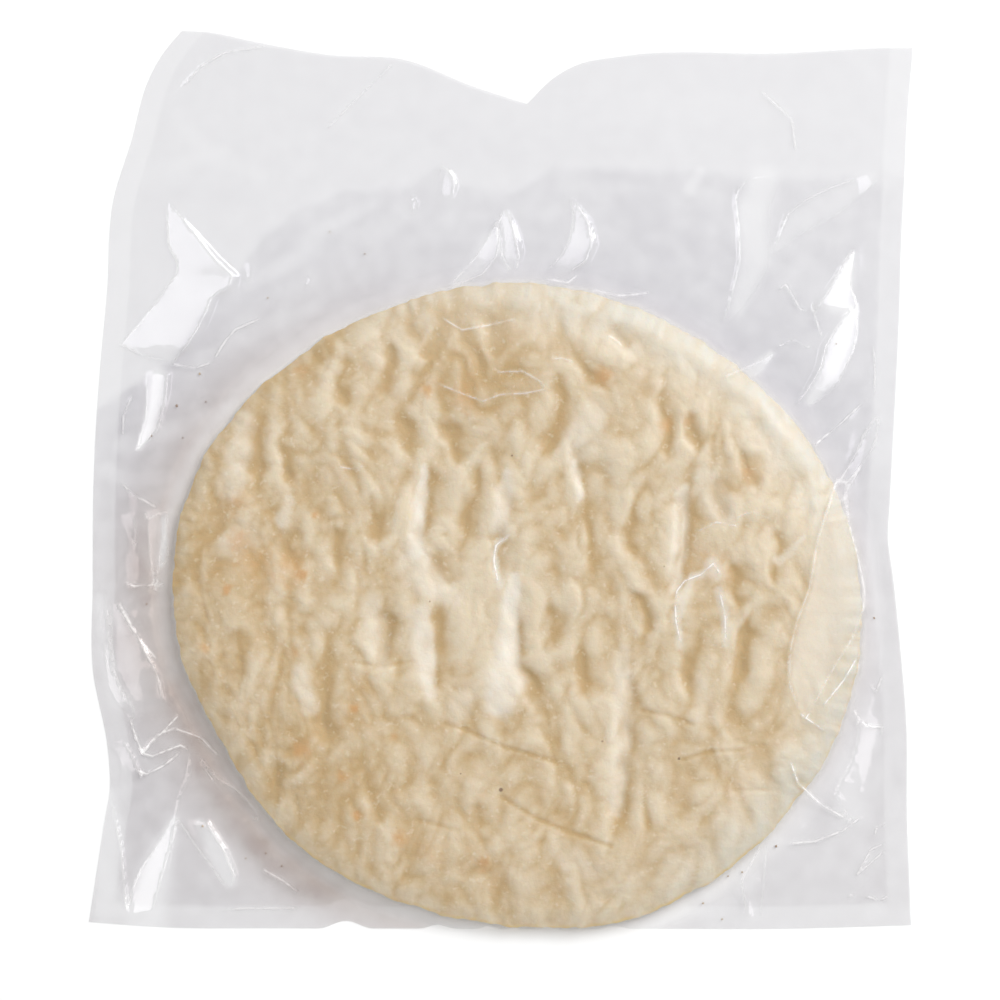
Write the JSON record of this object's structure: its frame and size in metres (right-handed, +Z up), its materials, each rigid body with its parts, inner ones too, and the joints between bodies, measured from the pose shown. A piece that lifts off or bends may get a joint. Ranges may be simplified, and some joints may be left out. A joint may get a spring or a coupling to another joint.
{
  "type": "pizza crust",
  "caption": "Part-baked oval pizza crust, vacuum-packed in a clear plastic pouch with welded edges and a loose top flap, lying flat with its crumpled upper side up.",
  "frame": {"origin": "Under the middle of the pack, on the surface that it lies on.", "axes": "+Z is up, out of the shown side. +Y points to the pouch's loose flap and +X to the right of the shown side."},
  "size_m": [0.358, 0.3902, 0.0118],
  "materials": {
    "packed_crust": "pale baked dough seen through clear glossy film",
    "clear_film": "clear, glossy, wrinkled film",
    "baked_dough": "pale, matt, lightly toasted baked dough"
  },
  "bodies": {
    "root": {"sealed_pouch": "packed_crust"}
  },
  "joints": []
}
